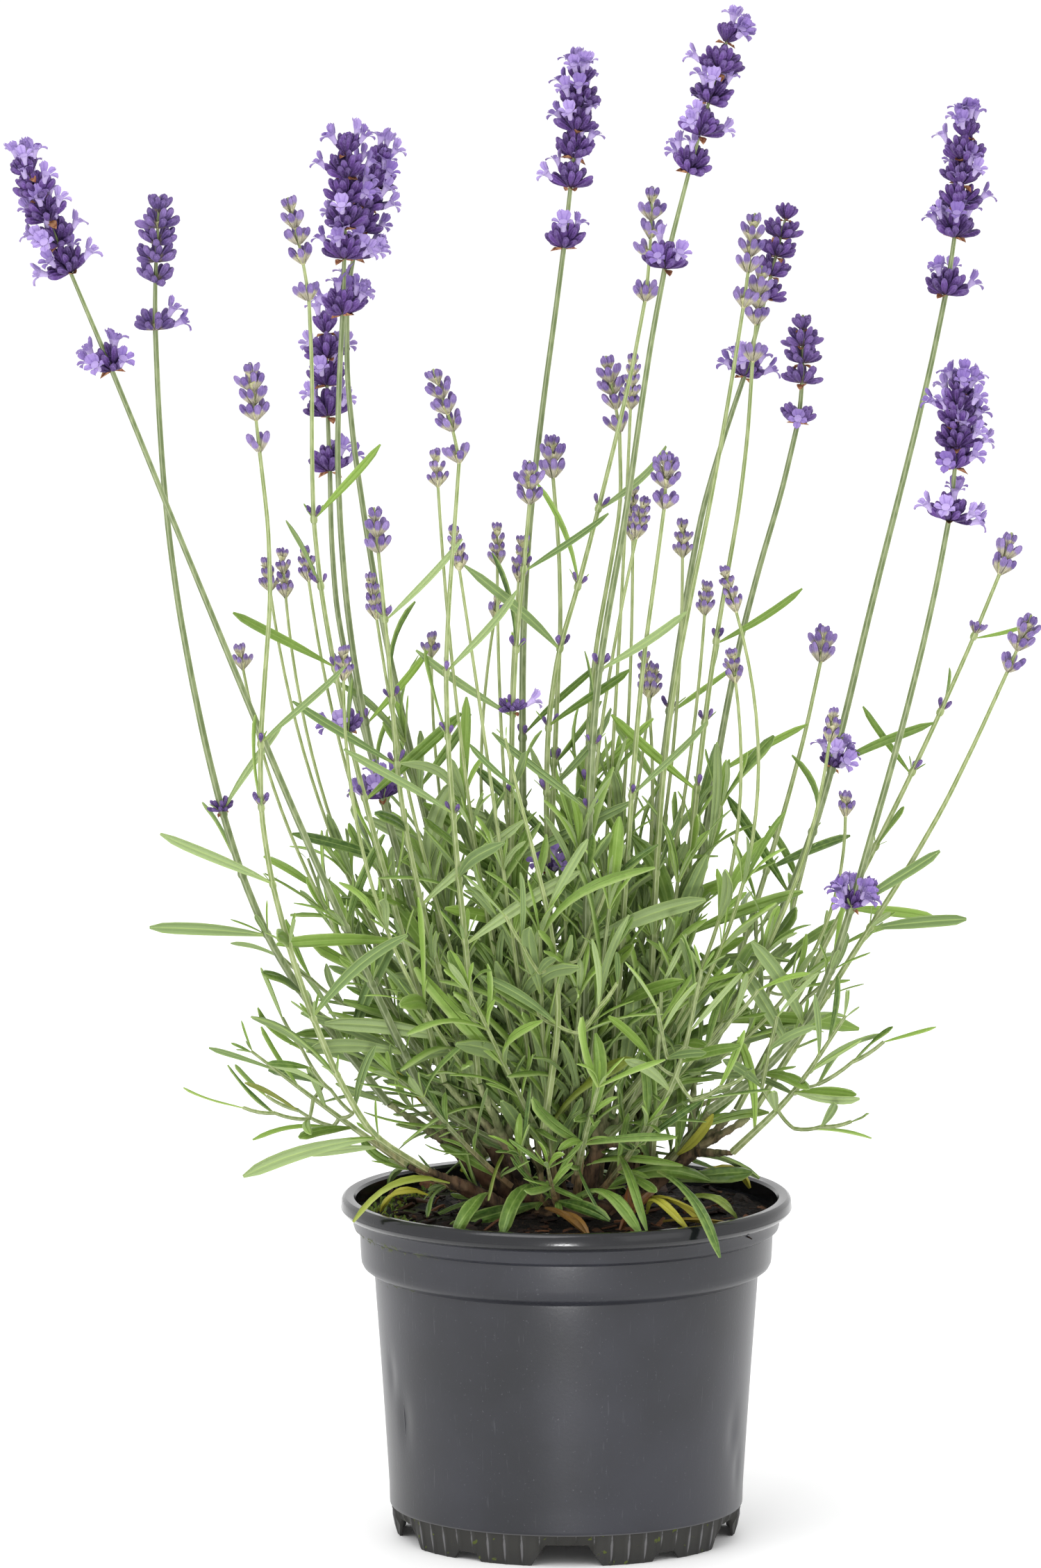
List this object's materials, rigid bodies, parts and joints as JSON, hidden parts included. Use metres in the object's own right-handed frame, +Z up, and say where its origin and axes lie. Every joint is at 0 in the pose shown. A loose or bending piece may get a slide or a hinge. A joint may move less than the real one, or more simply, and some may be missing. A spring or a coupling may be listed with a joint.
{
  "type": "potted lavender",
  "caption": "Lavender in flower in a round plastic nursery pot: a woody crown, narrow grey-green leaves and slender upright stalks with whorled violet flower spikes and bud spikes.",
  "frame": {"origin": "on the pot's axis, on the ground that the pot's foot stands on", "axes": "+Z up along the pot's axis; -Y towards the side that the plant is seen from; +X to the right as seen from there"},
  "size_m": [0.3813, 0.2363, 0.5865],
  "materials": {
    "black_plastic": "semi-gloss injection-moulded plastic, finely scratched",
    "potting_soil": "dark moist compost with bark chips and a little moss",
    "woody_bark": "rough, flaking bark, greener towards the shoots",
    "foliage": "matt grey-green to fresh green, finely downy",
    "violet_flowers": "velvety dark violet with paler lilac petals",
    "lilac_buds": "woolly grey-violet with green bases"
  },
  "bodies": {
    "root": {"pot": "black_plastic", "soil": "potting_soil", "crown": "woody_bark", "bud_spike_03": "lilac_buds", "bud_spike_13": "lilac_buds", "bud_spike_14": "lilac_buds", "bud_spike_15": "lilac_buds", "bud_spike_16": "lilac_buds", "bud_spike_17": "lilac_buds", "bud_spike_18": "lilac_buds", "bud_spike_19": "lilac_buds", "bud_spike_20": "lilac_buds", "bud_spike_21": "lilac_buds", "bud_spike_22": "lilac_buds", "bud_spike_23": "lilac_buds", "bud_spike_24": "lilac_buds", "bud_spike_25": "lilac_buds", "flower_spike_01": "violet_flowers", "flower_spike_02": "violet_flowers", "flower_spike_04": "violet_flowers", "flower_spike_05": "violet_flowers", "flower_spike_06": "violet_flowers", "flower_spike_07": "violet_flowers", "flower_spike_08": "violet_flowers", "flower_spike_09": "violet_flowers", "flower_spike_10": "violet_flowers", "flower_spike_11": "violet_flowers", "flower_spike_12": "violet_flowers", "leafy_shoot_1": "foliage", "leafy_shoot_2": "foliage", "leafy_shoot_3": "foliage", "leafy_shoot_4": "foliage", "leafy_shoot_5": "foliage", "leafy_shoot_6": "foliage", "leafy_shoot_7": "foliage", "stalk_01": "foliage", "stalk_02": "foliage", "stalk_03": "foliage", "stalk_04": "foliage", "stalk_05": "foliage", "stalk_06": "foliage", "stalk_07": "foliage", "stalk_08": "foliage", "stalk_09": "foliage", "stalk_10": "foliage", "stalk_11": "foliage", "stalk_12": "foliage", "stalk_13": "foliage", "stalk_14": "foliage", "stalk_15": "foliage", "stalk_16": "foliage", "stalk_17": "foliage", "stalk_18": "foliage", "stalk_19": "foliage", "stalk_20": "foliage", "stalk_21": "foliage", "stalk_22": "foliage", "stalk_23": "foliage", "stalk_24": "foliage", "stalk_25": "foliage"}
  },
  "joints": []
}
